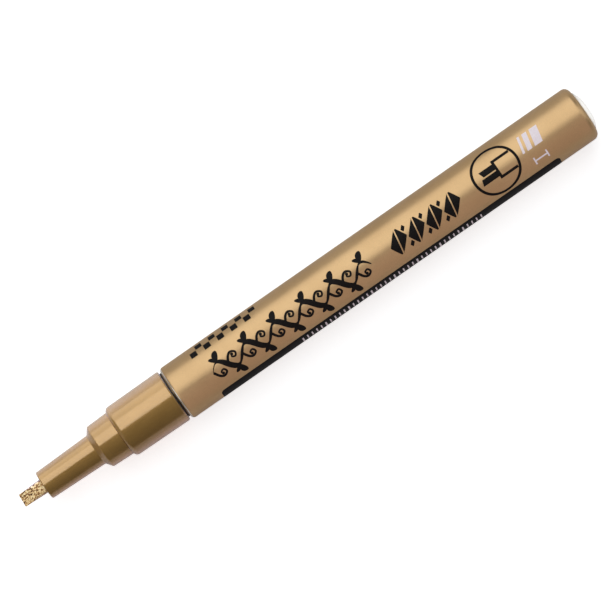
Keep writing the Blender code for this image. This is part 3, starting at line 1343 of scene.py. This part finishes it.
@dataclass
class Tank(Assembly):
    """Lacquered tube, tail plug and mixing balls.

    Attributes:
        mouth_roll: outer radius of the rolled edge at the front.
        tail_roll: outer radius of the rolled edge at the tail.
        mouth_lip: radius of the opening at the front.
        tail_lip: radius of the opening at the tail.
        skirt_radius: outside of the plug's cup, in the tube.
        cup_bore: inside of the cup.
        plug_gap: from the plug to the tube.
        dome_edge: rounding where the dome leaves the tube.
        dome_flat: radius of the flat in its middle.
    """

    radius: float = 5.75
    wall: float = 0.45
    mouth: float = 35.86
    tail: float = 130.85
    mouth_roll: float = 0.8
    tail_roll: float = 1.25
    mouth_lip: float = 4.75
    tail_lip: float = 4.2
    overall: float = 131.9
    plug_front: float = 120.0
    plug_floor: float = 129.0
    skirt_radius: float = 5.2
    cup_bore: float = 4.3
    plug_gap: float = 0.1
    neck_radius: float = 4.08
    dome_edge: float = 0.25
    dome_flat: float = 1.3
    dome_steps: int = 14
    ball_radius: float = 3.0

    def build(self, lacquer: GoldLacquer, plastic: PlainPlastic, steel: Steel) -> None:
        """Build and dress the tube, the plug and the balls.

        Args:
            lacquer: finish of the tube.
            plastic: finish of the plug.
            steel: finish of the balls.
        """
        self.fit(self.tube(), lacquer.build(), "barrel", "gold_lacquer", "barrel_tube")
        self.fit(self.plug(), plastic.build(), "barrel", "white_plastic", "tail_plug")
        polished = steel.build()
        for body in ("front_ball", "rear_ball"):
            self.fit(self.ball(body), polished, body, "ball_steel", body)

    def tube(self) -> bpy.types.Object:
        """Thin tube with both mouths rolled in.

        Returns:
            The tube.
        """
        front = (self.mouth + self.mouth_roll, self.radius - self.mouth_roll)
        rear = (self.tail - self.tail_roll, self.radius - self.tail_roll)
        corners = [Corner(self.mouth, self.mouth_lip, 0.10)]
        corners += arc(*front, self.mouth_roll, 180, 90, 12)
        corners += arc(*rear, self.tail_roll, 90, 0, 18)
        corners += [Corner(self.tail, self.tail_lip, 0.06)]
        corners += [Corner(self.tail - self.wall, self.tail_lip, 0.06)]
        corners += arc(*rear, self.tail_roll - self.wall, 0, 90, 10)
        corners += arc(*front, self.mouth_roll - self.wall, 90, 180, 6)
        corners += [Corner(self.mouth + self.wall, self.mouth_lip, 0.08)]
        return turn("lacquered_tube", self.axis, corners)

    def plug(self) -> bpy.types.Object:
        """Cup, neck and shallow dome.

        Returns:
            The plug.
        """
        rear = (self.tail - self.tail_roll, self.radius - self.tail_roll)
        roll = arc(*rear, self.tail_roll - self.wall - self.plug_gap, 90, 0, 10)
        base = self.tail + self.plug_gap
        corners = [
            Corner(self.plug_floor, 0.0),
            Corner(self.plug_floor, self.cup_bore, 0.4),
            Corner(self.plug_front, self.cup_bore, 0.1),
            Corner(self.plug_front, self.skirt_radius, 0.3),
            *roll,
        ]
        corners += outline((roll[-1].station, self.neck_radius, 0.04), (base, self.neck_radius))
        corners += arc(base, self.neck_radius - self.dome_edge, self.dome_edge, 80, 20, 5)
        rim = corners[-1]
        rise = self.overall - rim.station
        for step in range(1, self.dome_steps + 1):
            outward = 1.0 - step / self.dome_steps
            reach = self.dome_flat + (rim.reach - self.dome_flat) * outward
            corners.append(Corner(self.overall - rise * outward**2, reach))
        corners.append(Corner(self.overall, 0.0))
        return turn("plug_moulding", self.axis, corners)

    def ball(self, body: str) -> bpy.types.Object:
        """A smooth ball where the frame has its plain one.

        Args:
            body: the ball's body in the frame, which is its node too.

        Returns:
            The ball.
        """
        low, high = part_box(body)
        bm = bmesh.new()
        bmesh.ops.create_icosphere(bm, subdivisions=4, radius=self.ball_radius * MM)
        bmesh.ops.translate(bm, verts=bm.verts, vec=(low + high) / 2.0)
        return finish_mesh(body.replace("_ball", "_mixing_ball"), bm, FINE_SHARP)


# --------------------------------------------------------------------- the print


@dataclass(frozen=True)
class BroadPen:
    """A broad-edged pen, whose stroke is wide across its edge and thin along it.

    Attributes:
        thick: the widest stroke.
        thin: the thinnest stroke.
        edge: direction of the pen's edge, in degrees from the pen's length.
    """

    thick: float
    thin: float
    edge: float = 38.0

    def width(self, heading: float) -> float:
        """Width of a stroke that runs in a direction, in radians."""
        return self.thin + (self.thick - self.thin) * abs(sin(heading - radians(self.edge)))


@dataclass
class PrintFilm:
    """Marks of one ink, wrapped on the barrel as thin closed shells.

    Attributes:
        axis: the pen's centre line.
        radius: the barrel's radius.
        film: how far the ink stands proud.
        sunk: how far each shell reaches into the lacquer.
        layer: how much higher each third mark lies, so that no two crossing marks share a face.
        lane: width of the mesh's lanes.
    """

    axis: PenAxis
    radius: float = 5.75
    film: float = 0.024
    sunk: float = 0.02
    layer: float = 0.003
    lane: float = 0.35
    bm: bmesh.types.BMesh = field(default_factory=bmesh.new)
    marks: int = 0

    def _vert(self, spot: Point, proud: float) -> bmesh.types.BMVert:
        """A vertex on the barrel; up is measured round it, towards +Y."""
        station, up = spot
        return self.bm.verts.new(self.axis.point(station, self.radius + proud, up / self.radius))

    def between(self, first: Sequence[Point], second: Sequence[Point], loop: bool = False) -> None:
        """Ink the band between two edges of equal count.

        Args:
            first: one edge's points, station and up.
            second: the other edge's points.
            loop: true where the band runs back into its start.
        """
        proud = self.film + self.layer * (self.marks % 3)
        self.marks += 1
        widest = max(hypot(a[0] - b[0], a[1] - b[1]) for a, b in zip(first, second))
        lanes = max(1, ceil(widest / self.lane))
        tops, bottoms = [], []
        for a, b in zip(first, second):
            spots = [part_way(a, b, lane / lanes) for lane in range(lanes + 1)]
            tops.append([self._vert(spot, proud) for spot in spots])
            bottoms.append([self._vert(spot, -self.sunk) for spot in spots])
        rounds = [top + bottom[::-1] for top, bottom in zip(tops, bottoms)]
        skin_rings(self.bm, rounds, loop)
        if not loop:
            for top, bottom in ((tops[0], bottoms[0]), (tops[-1], bottoms[-1])):
                for lane in range(lanes):
                    self.bm.faces.new((top[lane], top[lane + 1], bottom[lane + 1], bottom[lane]))

    def stroke(
        self, path: Sequence[Point], width: Callable[[float, float], float], loop: bool = False
    ) -> None:
        """Ink a stroke along a path.

        Args:
            path: points along its middle.
            width: its width for a heading in radians and a share of its length.
            loop: true where the path runs back into its start.
        """
        count = len(path)
        first, second = [], []
        for index, (station, up) in enumerate(path):
            before = path[index - 1] if index or loop else path[0]
            after = path[(index + 1) % count] if index < count - 1 or loop else path[-1]
            heading = atan2(after[1] - before[1], after[0] - before[0])
            half = width(heading, index / (count - 1)) / 2.0
            first.append((station - half * sin(heading), up + half * cos(heading)))
            second.append((station + half * sin(heading), up - half * cos(heading)))
        self.between(first, second, loop)

    def block(self, corners: Sequence[Point], steps: int = 6) -> None:
        """Ink a four-sided patch.

        Args:
            corners: its four corners.
            steps: how many spans it has along its first side.
        """
        low, right, top, left = corners
        shares = [step / steps for step in range(steps + 1)]
        first = [part_way(low, left, share) for share in shares]
        second = [part_way(right, top, share) for share in shares]
        self.between(first, second)

    def box(self, left: float, right: float, low: float, high: float) -> None:
        """Ink an upright rectangle between two stations and two heights."""
        self.block(((left, low), (right, low), (right, high), (left, high)))

    def piece(self, name: str) -> bpy.types.Object:
        """Close the film and hand it over as one object."""
        return finish_mesh(name, self.bm, PRINT_SHARP)


def part_way(first: Point, second: Point, share: float) -> Point:
    """The point at a share of the way between two others."""
    return first[0] + (second[0] - first[0]) * share, first[1] + (second[1] - first[1]) * share


def between_knots(p: float, q: float, r: float, s: float, share: float) -> float:
    """Catmull and Rom's rule for one part of a point between the knots q and r.

    Args:
        p: the knot before q.
        q: the knot at a share of 0.
        r: the knot at a share of 1.
        s: the knot after r.
        share: place between q and r.

    Returns:
        That part of the point.
    """
    square = 2 * p - 5 * q + 4 * r - s
    cube = 3 * q - p - 3 * r + s
    return 0.5 * (2 * q + (r - p) * share + square * share**2 + cube * share**3)


def curve_through(knots: Sequence[Point], steps: int) -> list[Point]:
    """A smooth path through knots.

    Args:
        knots: the points that it passes.
        steps: how many spans lie between two knots.

    Returns:
        Points along it.
    """
    ends = [knots[0], *knots, knots[-1]]
    path: list[Point] = []
    for knot in zip(ends, ends[1:], ends[2:], ends[3:]):
        for step in range(steps):
            path.append(tuple(between_knots(*part, step / steps) for part in zip(*knot)))
    path.append(knots[-1])
    return path


def circle(middle: Point, radius: float, points: int) -> list[Point]:
    """Points evenly spaced on a circle."""
    turns = [2 * pi * index / points for index in range(points)]
    return [(middle[0] + radius * cos(turn), middle[1] + radius * sin(turn)) for turn in turns]


@dataclass
class BarrelPrint(Assembly):
    """Everything printed on the tube: ornament, lozenges, nib emblem, width sample, scale band.

    Attributes:
        radius: the barrel's radius.
        leaves: reach along, reach outwards and width of the leaves on each bend of the vine.
        tendril: knots of the tendril in a bend, from the bend's middle.
        bud: radius and line of the ring that the tendril ends in.
    """

    radius: float = 5.75
    leaves: tuple[tuple[float, float, float], ...] = ((1.05, 2.05, 1.15), (-1.15, 1.15, 0.72))
    tendril: tuple[Point, ...] = (
        (-0.80, 1.20),
        (0.0, 1.62),
        (0.76, 1.10),
        (0.42, 0.42),
        (-0.22, 0.66),
        (-0.02, 1.06),
    )
    bud: Point = (0.16, 0.30)

    def _film(self) -> PrintFilm:
        """A fresh film for one piece of print."""
        return PrintFilm(self.axis, self.radius)

    def build(self, black: PrintInk, pale: PrintInk) -> None:
        """Print every mark and dress it.

        Args:
            black: the dark ink.
            pale: the light ink.
        """
        dark = black.build()
        light = pale.build()
        for draw in (self.vine, self.ladder, self.lozenges, self.emblem, self.scale_band):
            self.fit(draw(), dark, "barrel", "black_ink")
        for draw in (self.scale_ticks, self.width_sample):
            self.fit(draw(), light, "barrel", "pale_ink")

    def vine(self) -> bpy.types.Object:
        """Broad-pen ornament: a waving stem with leaves outside and a tendril inside every bend.

        Returns:
            The print.
        """
        film = self._film()
        pen = BroadPen(1.12, 0.38)
        start, end, middle, swing = 44.2, 80.8, -0.85, 1.42
        bends, steps_per_bend = 11, 22
        steep, thinnest = 9.0, 0.2
        span = (end - start) / bends
        steps = steps_per_bend * bends
        shares = [step / steps for step in range(steps + 1)]
        stem = [(start + (end - start) * t, middle + swing * sin(pi * bends * t)) for t in shares]

        def width(heading: float, share: float) -> float:
            """The pen's stroke, which thins out at both ends of the stem."""
            return pen.width(heading) * min(1.0, steep * min(share, 1 - share) + thinnest)

        film.stroke(stem, width)
        for bend in range(bends):
            side = 1.0 if bend % 2 == 0 else -1.0
            crest = (start + span * (bend + 0.5), middle + side * swing)
            for along, outward, widest in self.leaves:
                self._leaf(film, crest, (along, side * outward), widest)
            self._tendril(film, (crest[0], middle), span / 2.0, side)
        return film.piece("vine_print")

    @staticmethod
    def _leaf(film: PrintFilm, foot: Point, reach: Point, widest: float) -> None:
        """A pointed leaf.

        Args:
            film: the print that it belongs to.
            foot: where it grows.
            reach: from its foot to its tip.
            widest: its greatest width.
        """
        line, fullness = 0.08, 0.8
        middle = (foot[0] + 0.38 * reach[0], foot[1] + 0.62 * reach[1])
        tip = (foot[0] + reach[0], foot[1] + reach[1])
        rib = curve_through([foot, middle, tip], 10)
        film.stroke(rib, lambda heading, share: line + widest * sin(pi * share) ** fullness)

    def _tendril(self, film: PrintFilm, middle: Point, reach: float, side: float) -> None:
        """A tendril that leaves the stem and curls up in the hollow of a bend.

        Args:
            film: the print that it belongs to.
            middle: the point on the stem's middle line below the bend.
            reach: half the bend's width.
            side: 1 for a bend towards +Y, -1 for the other.
        """
        overlap, foot_line, thinning = 0.1, 0.52, 0.20
        knots = [(overlap - reach, 0.0), *self.tendril]
        path = curve_through([(middle[0] + x, middle[1] - side * y) for x, y in knots], 8)
        film.stroke(path, lambda heading, share: foot_line - thinning * share)
        radius, line = self.bud
        film.stroke(circle(path[-1], radius, 16), lambda heading, share: line, loop=True)

    def ladder(self) -> bpy.types.Object:
        """Two staggered rows of pen-wide squares, as scribes use to set a letter's height.

        Returns:
            The print.
        """
        film = self._film()
        size, gap, start, low, count = 1.42, 0.12, 42.4, 4.05, 10
        for column in range(count):
            left = start + column * (size + gap)
            bottom = low + column % 2 * (size + gap)
            film.box(left, left + size, bottom, bottom + size)
        return film.piece("ladder_print")

    def lozenges(self) -> bpy.types.Object:
        """Four bold slanted lozenges, each with a fine inline, and small ones between them.

        Returns:
            The print.
        """
        film = self._film()
        middle, pitch, first, offset = -0.42, 4.12, 87.45, 1.75
        bold, small = (1.98, 2.5, 0.13), (0.5, 0.62, 0.0)
        halves = (-1.0, 1.0)
        for index in range(4):
            centre = first + index * pitch
            for side in halves:
                self._half_lozenge(film, (centre, middle), side, *bold)
            for side in halves if index else ():
                for up in (offset, -offset):
                    self._half_lozenge(film, (centre - pitch / 2.0, middle + up), side, *small)
        return film.piece("lozenge_print")

    @staticmethod
    def _half_lozenge(
        film: PrintFilm, middle: Point, side: float, width: float, height: float, inline: float
    ) -> None:
        """One half of a slanted lozenge.

        Args:
            film: the print that it belongs to.
            middle: the lozenge's middle.
            side: 1 for the half towards the tail, -1 for the other.
            width: half the lozenge's width.
            height: half its height.
            inline: half the width of the gap between its halves.
        """
        slant, shift, line, fullness, inner_height = 0.16, 0.10, 0.04, 0.92, 0.97
        steps = 20
        inner, outer = [], []
        for step in range(steps + 1):
            up = 2.0 * step / steps - 1.0
            spine = middle[0] + slant * height * up
            bulge = max(0.0, (1.0 - abs(up - shift * side)) / (1.0 + shift))
            reach = inline + line + width * bulge**fullness
            inner.append((spine + side * inline, middle[1] + height * up * inner_height))
            outer.append((spine + side * reach, middle[1] + height * up))
        film.between(inner, outer)

    def emblem(self) -> bpy.types.Object:
        """Ring round the outline of a nib in its holder.

        Returns:
            The print.
        """
        film = self._film()
        centre, middle, reach, line = 110.35, 0.25, 4.74, 0.54
        film.stroke(circle((centre, middle), reach, 96), lambda heading, share: line, loop=True)
        shoulder, half_holder, half_nib = centre + 0.55, 2.0, 1.36
        rim = sqrt(reach**2 - half_holder**2) + centre - line / 2.0
        for side in (-1.0, 1.0):
            outside = middle + side * half_holder
            film.box(shoulder, rim, outside - side * line, outside)
        film.box(shoulder - line, shoulder, middle - half_holder, middle + half_holder)
        tip, back, slit = centre - 3.6, shoulder - line, 0.14
        for side, near, far in ((-1.0, 0.0, 0.35), (1.0, 0.5, 0.95)):
            inside = middle + side * slit
            outside = middle + side * half_nib
            outer_edge = ((tip + near, outside), (back, outside))
            film.block((*outer_edge, (back, inside), (tip + far, inside)), 8)
        return film.piece("emblem_print")

    def scale_band(self) -> bpy.types.Object:
        """Black band round the pen's side, with round corners.

        Returns:
            The print.
        """
        film = self._film()
        start, end, top, bottom = 43.3, 121.9, -5.24, -9.3
        corner, fullest, steps = 0.85, 0.98, 90
        inner = end - start - 2 * corner
        corner_stations = [corner * (1 - cos(radians(a))) for a in range(0, 91, 10)]
        stations = [start + place for place in corner_stations]
        stations += [start + corner + inner * step / steps for step in range(1, steps)]
        stations += [end - place for place in reversed(corner_stations)]
        upper, lower = [], []
        for station in stations:
            depth = max(0.0, corner - min(station - start, end - station))
            pull = corner - sqrt(max(0.0, corner**2 - depth**2))
            pull = min(pull, corner * fullest)
            upper.append((station, top - pull))
            lower.append((station, bottom + pull))
        film.between(upper, lower)
        return film.piece("scale_band_print")

    def scale_ticks(self) -> bpy.types.Object:
        """Pale rule on the band, with every fifth tick longer and bolder.

        Returns:
            The print.
        """
        film = self._film()
        film.film = 0.034
        start, pitch, count, group, top = 62.0, 1.06, 40, 5, -6.12
        long_tick, short_tick = (-8.45, 0.17), (-7.75, 0.135)
        for index in range(count):
            low, half = short_tick if index % group else long_tick
            station = start + index * pitch
            film.box(station - half, station + half, low, top)
        return film.piece("scale_tick_print")

    def width_sample(self) -> bpy.types.Object:
        """Three slanted strokes of growing width, with a dimension mark below them.

        Returns:
            The print.
        """
        film = self._film()
        left, bottom, height, slant, gap = 116.35, -0.25, 3.45, 0.75, 0.62
        for width in (0.5, 1.05, 1.75):
            foot = ((left, bottom), (left + width, bottom))
            head = ((left + width + slant, bottom + height), (left + slant, bottom + height))
            film.block(foot + head)
            left += width + gap
        middle, level, half_span, serif, half_line = 119.0, -2.75, 1.4, 0.8, 0.15
        for end in (middle - half_span, middle + half_span):
            film.box(end - half_line, end + half_line, level - serif, level + serif)
        inner = half_span - half_line
        film.box(middle - inner, middle + inner, level - half_line, level + half_line)
        return film.piece("width_sample_print")


# --------------------------------------------------------------------- the studio


class Lit(Enum):
    """The groups of pieces that a softbox can be kept to."""

    TUBE = "the tube, its print and the balls"
    FRONT = "the nib, the front and the valve"
    NIB = "the nib alone"
    PLUG = "the tail plug"
    TUBE_AND_FLOOR = "the tube's group and the floor"


Groups = Mapping[Lit, Sequence[bpy.types.Object]]


@dataclass(frozen=True)
class Softbox:
    """A long softbox over the pen.

    Attributes:
        name: its name.
        start: its upper edge, in degrees from straight above.
        end: its lower edge.
        radiance: how bright its face is.
        lit: the pieces that it lights.
        colour: tint of its light.
        bearing: which way it stands from the pen, in degrees from +Y towards +X.
        length: its length, level, in metres.
        through_floor: true where it glows up through the paper, past the floor.
    """

    name: str
    start: float
    end: float
    radiance: float
    lit: Lit
    colour: Colour = (0.96, 1.02, 1.04)
    bearing: float = 0.0
    length: float = 1.6
    through_floor: bool = False

    def build(self, target: Vector, distance: float, groups: Groups) -> None:
        """Hang the softbox.

        Args:
            target: the point that it faces.
            distance: from the target, in metres.
            groups: the pieces of each group.
        """
        lean = radians(self.start + self.end) / 2.0
        turned = radians(self.bearing)
        width = 2.0 * distance * tan(radians(abs(self.end - self.start)) / 2.0)
        data = bpy.data.lights.new(self.name, "AREA")
        data.shape = "RECTANGLE"
        data.size = self.length
        data.size_y = width
        data.energy = pi * self.length * width * self.radiance
        data.color = self.colour
        light = bpy.data.objects.new(self.name, data)
        away = Vector((sin(lean) * sin(turned), sin(lean) * cos(turned), cos(lean)))
        light.location = target + away * distance
        light.rotation_euler = (-lean, 0.0, -turned)
        light.visible_camera = False
        bpy.context.scene.collection.objects.link(light)
        light.light_linking.receiver_collection = self._collect("_receivers", groups[self.lit])
        if self.through_floor:
            light.light_linking.blocker_collection = self._collect("_blockers", groups[self.lit])

    def _collect(self, ending: str, pieces: Iterable[bpy.types.Object]) -> bpy.types.Collection:
        """A collection of pieces, named after the softbox.

        Args:
            ending: what follows the softbox's name.
            pieces: what it holds.

        Returns:
            The collection.
        """
        collection = bpy.data.collections.new(self.name + ending)
        for piece in pieces:
            collection.objects.link(piece)
        return collection


BLUISH: Colour = (0.72, 1.0, 2.2)
PINKISH: Colour = (1.0, 0.80, 1.1)


@dataclass
class Studio:
    """Floor, light and camera.

    Attributes:
        axis: the pen's centre line.
        middle: the pen's mid-point.
        distance: from the camera to the pen's axis, in metres.
        field: width of the view at the pen, in metres.
        tilt: how far the pen's tail points above level in the view, in degrees.
        drop: how far the camera stands towards -Y, in metres.
        backdrop: brightness of the surroundings behind the pen.
        ambient: brightness of the surroundings as light.
    """

    axis: PenAxis
    middle: Vector
    distance: float = 0.8
    field: float = 0.11683
    tilt: float = 34.8
    drop: float = 0.0001
    sensor: float = 36.0
    floor_size: float = 3.0
    backdrop: float = 0.95
    ambient: float = 0.06
    light_distance: float = 1.2
    softboxes: tuple[Softbox, ...] = (
        Softbox("tube_key", 1.0, 82.0, 1.39, Lit.TUBE_AND_FLOOR),
        Softbox("tube_fill", -12.0, -88.0, 0.41, Lit.TUBE_AND_FLOOR, (1.03, 0.87, 0.91)),
        Softbox("tube_tail", 30.0, 86.0, 0.90, Lit.TUBE, bearing=90.0, length=1.0),
        Softbox("tube_mouth", 20.0, 86.0, 0.80, Lit.TUBE, bearing=-90.0, length=1.0),
        Softbox("front_key", 5.0, 50.0, 2.20, Lit.FRONT),
        Softbox("front_side", 50.0, 87.0, 1.42, Lit.FRONT),
        Softbox("front_end", 36.0, 86.0, 0.15, Lit.FRONT, bearing=-90.0, length=1.0),
        Softbox("front_glow", 95.0, 140.0, 4.5, Lit.FRONT, BLUISH, through_floor=True),
        Softbox("front_back_glow", -118.0, -150.0, 2.6, Lit.FRONT, PINKISH, through_floor=True),
        Softbox("nib_key", 4.0, 70.0, 0.75, Lit.NIB, bearing=-90.0, length=1.0),
        Softbox("plug_key", 10.0, 88.0, 2.2, Lit.PLUG, (1.02, 1.0, 0.97), bearing=90.0),
    )

    def build(self, paper: PalePaper, groups: Groups) -> None:
        """Set up everything that isn't part of the pen.

        Args:
            paper: finish of the floor.
            groups: the pieces of each group that softboxes light.
        """
        self.camera()
        everything = {**groups, Lit.TUBE_AND_FLOOR: [*groups[Lit.TUBE], self.floor(paper)]}
        self.surroundings()
        for softbox in self.softboxes:
            softbox.build(self.middle, self.light_distance, everything)
        bpy.context.scene.view_settings.view_transform = "Standard"

    def camera(self) -> None:
        """Camera straight above the pen, turned so that the tail points up to the right."""
        data = bpy.data.cameras.new("camera")
        data.sensor_width = self.sensor
        data.lens = self.sensor * self.distance / self.field
        camera = bpy.data.objects.new("camera", data)
        height = self.axis.height + self.distance
        camera.location = (self.middle.x, self.middle.y - self.drop, height)
        camera.rotation_euler = (0.0, 0.0, -radians(self.tilt))
        bpy.context.scene.collection.objects.link(camera)
        bpy.context.scene.camera = camera

    def floor(self, paper: PalePaper) -> bpy.types.Object:
        """A wide sheet of paper.

        Args:
            paper: the floor's finish.

        Returns:
            The floor.
        """
        bm = bmesh.new()
        bmesh.ops.create_grid(bm, x_segments=24, y_segments=24, size=self.floor_size / 2.0)
        floor = finish_mesh("paper_floor", bm)
        floor.data.materials.append(paper.build())
        floor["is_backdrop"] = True
        return floor

    def surroundings(self) -> None:
        """Pale surroundings that add little light of their own."""
        world = bpy.data.worlds.new("studio")
        world.use_nodes = True
        tree = world.node_tree
        seen = tree.nodes.new("ShaderNodeLightPath")
        level = tree.nodes.new("ShaderNodeMapRange")
        level.inputs["To Min"].default_value = self.ambient
        level.inputs["To Max"].default_value = self.backdrop
        backdrop = tree.nodes["Background"]
        backdrop.inputs["Color"].default_value = (1.0, 1.0, 1.0, 1.0)
        tree.links.new(seen.outputs["Is Camera Ray"], level.inputs["Value"])
        tree.links.new(level.outputs["Result"], backdrop.inputs["Strength"])
        bpy.context.scene.world = world


def report(assembly: Assembly) -> None:
    """Log every piece of a sub-assembly."""
    for piece in assembly.made:
        log.info("%s: %d faces", piece.name, len(piece.data.polygons))


def main() -> None:
    """Build the pen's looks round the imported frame."""
    logging.basicConfig(level=logging.INFO, format="%(name)s %(message)s")
    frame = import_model()
    cad_low, cad_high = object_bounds()
    tube_low, tube_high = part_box("barrel_tube")
    axis = PenAxis(cad_low.x, (tube_low.z + tube_high.z) / 2.0)

    nib = FeltNib(axis)
    nib.build(InkedFelt(axis))
    front = FrontSection(axis)
    front.build(MouldedGold(axis), DryFelt(axis), BlackRubber(axis))
    retainer = frame["nodes"]["spring_retainer"]
    valve = Valve(axis)
    valve.build(PlainPlastic(axis), BlackRubber(axis), Steel(axis), retainer)
    tank = Tank(axis)
    white = PlainPlastic(axis, "white_plastic", (0.93, 0.93, 0.92), (0.90, 0.89, 0.87), 0.34)
    tank.build(GoldLacquer(axis), white, Steel(axis, "ball_steel", (0.72, 0.72, 0.72), 0.12))
    marks = BarrelPrint(axis)
    marks.build(PrintInk(axis, InkTone.BLACK), PrintInk(axis, InkTone.PALE))
    assemblies = (nib, front, valve, tank, marks)
    for assembly in assemblies:
        report(assembly)

    made = {piece.name: piece for assembly in assemblies for piece in assembly.made}
    plug = made["plug_moulding"]
    seal = made["seal_ring"]
    behind = [*tank.made, *marks.made, seal]
    ahead = [*nib.made, *front.made, *valve.made, retainer]
    groups = {
        Lit.TUBE: [piece for piece in behind if piece != plug],
        Lit.FRONT: [piece for piece in ahead if piece != seal],
        Lit.NIB: nib.made,
        Lit.PLUG: [plug],
    }
    studio = Studio(axis, (cad_low + cad_high) / 2.0)
    studio.build(PalePaper(axis), groups)


if __name__ == "__main__":
    main()
